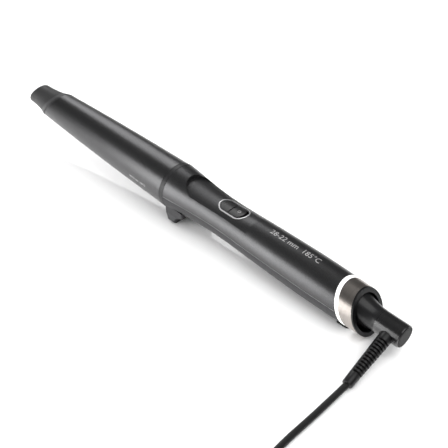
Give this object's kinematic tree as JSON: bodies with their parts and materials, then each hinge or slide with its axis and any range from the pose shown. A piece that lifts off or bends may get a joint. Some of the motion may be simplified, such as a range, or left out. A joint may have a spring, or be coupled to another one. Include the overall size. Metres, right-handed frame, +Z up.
{
  "type": "curling wand",
  "caption": "Tapered hair curling wand on its moulded stand, with cool tip, thumb rest and button, light ring, and a swivel mains cord coiled beside it.",
  "frame": {"origin": "middle of the flat underside of the stand's pad, on the table that the wand rests on", "axes": "+X along the wand from the hot tip to the cord end, +Z up from the table; the wand leans 3.34 degrees, tip raised"},
  "size_m": [0.3891, 0.1487, 0.0381],
  "materials": {
    "graphite_barrel": "satin ceramic coat over drawn aluminium",
    "graphite_shell": "satin metallic paint over moulded plastic",
    "underside_shell": "satin, darker than the upper shell",
    "tip_plastic": "fine matt heat resistant plastic",
    "dark_plastic": "satin black moulded plastic",
    "gloss_black": "semi-gloss black plastic",
    "button_chrome": "polished",
    "light_diffuser": "translucent white, lit from behind",
    "champagne_metal": "fine circular brushing, champagne tint",
    "foot_rubber": "matt",
    "cord_jacket": "smooth PVC",
    "plug_plastic": "satin moulded PVC",
    "pin_brass": "nickel bright",
    "contact_brass": "plain",
    "carbon": "pressed carbon",
    "steel": "zinc plated",
    "spreader_aluminium": "as extruded",
    "ceramic": "sintered",
    "heater_film": "amber polyimide film",
    "heat_plastic": "glass filled",
    "board_green": "solder mask",
    "component_black": "moulded",
    "capacitor_yellow": "dipped",
    "copper": "enamelled winding",
    "fuse_glass": "clear",
    "lens_clear": "clear",
    "terminal_plastic": "moulded"
  },
  "bodies": {
    "wand": {"barrel": "graphite_barrel", "cool_tip": "tip_plastic", "heat_spreader_upper": "spreader_aluminium", "heat_spreader_lower": "spreader_aluminium", "heater_film": "heater_film", "ptc_heaters": "ceramic", "thermistor": "ceramic", "heater_leads": "steel", "heat_break_ring": "dark_plastic", "insulating_bush": "heat_plastic", "upper_shell": "graphite_shell", "lower_shell": "underside_shell", "shell_screws": "steel", "stand_pad": "foot_rubber", "rear_foot": "foot_rubber", "button_bezel": "button_chrome", "control_board": "board_green", "board_screws": "steel", "tact_switch": "component_black", "indicator_led": "lens_clear", "film_capacitor": "capacitor_yellow", "triac": "component_black", "fuse": "fuse_glass", "buzzer": "component_black", "microcontroller": "component_black", "choke_coil": "copper", "terminal_block": "terminal_plastic", "light_ring": "light_diffuser", "led_board": "board_green", "ring_leds": "lens_clear", "end_collar": "champagne_metal", "end_cup": "gloss_black", "swivel_neck": "gloss_black", "brush_carrier": "heat_plastic", "contact_brushes": "carbon"},
    "button": {"power_button": "dark_plastic", "indicator_lens": "lens_clear", "switch_plunger": "dark_plastic"},
    "swivel": {"swivel_spindle": "dark_plastic", "slip_rings": "contact_brass", "spindle_clip": "steel", "swivel_cap": "gloss_black", "cap_disc": "gloss_black", "strain_relief": "cord_jacket", "cord": "cord_jacket", "cord_coil": "cord_jacket", "cord_tail": "cord_jacket", "plug_body": "plug_plastic", "plug_pins": "pin_brass"}
  },
  "joints": [
    {"name": "power_button_press", "type": "slide", "parent": "wand", "child": "button", "axis": [-0.0583, 0, -0.9983], "range_m": [0, 0.0008], "stiffness_N_per_m": 1500},
    {"name": "swivel_turn", "type": "hinge", "parent": "wand", "child": "swivel", "pos_m": [0.14437, 0, 0.0125], "axis": [0.9983, 0, -0.0583], "continuous": true}
  ]
}
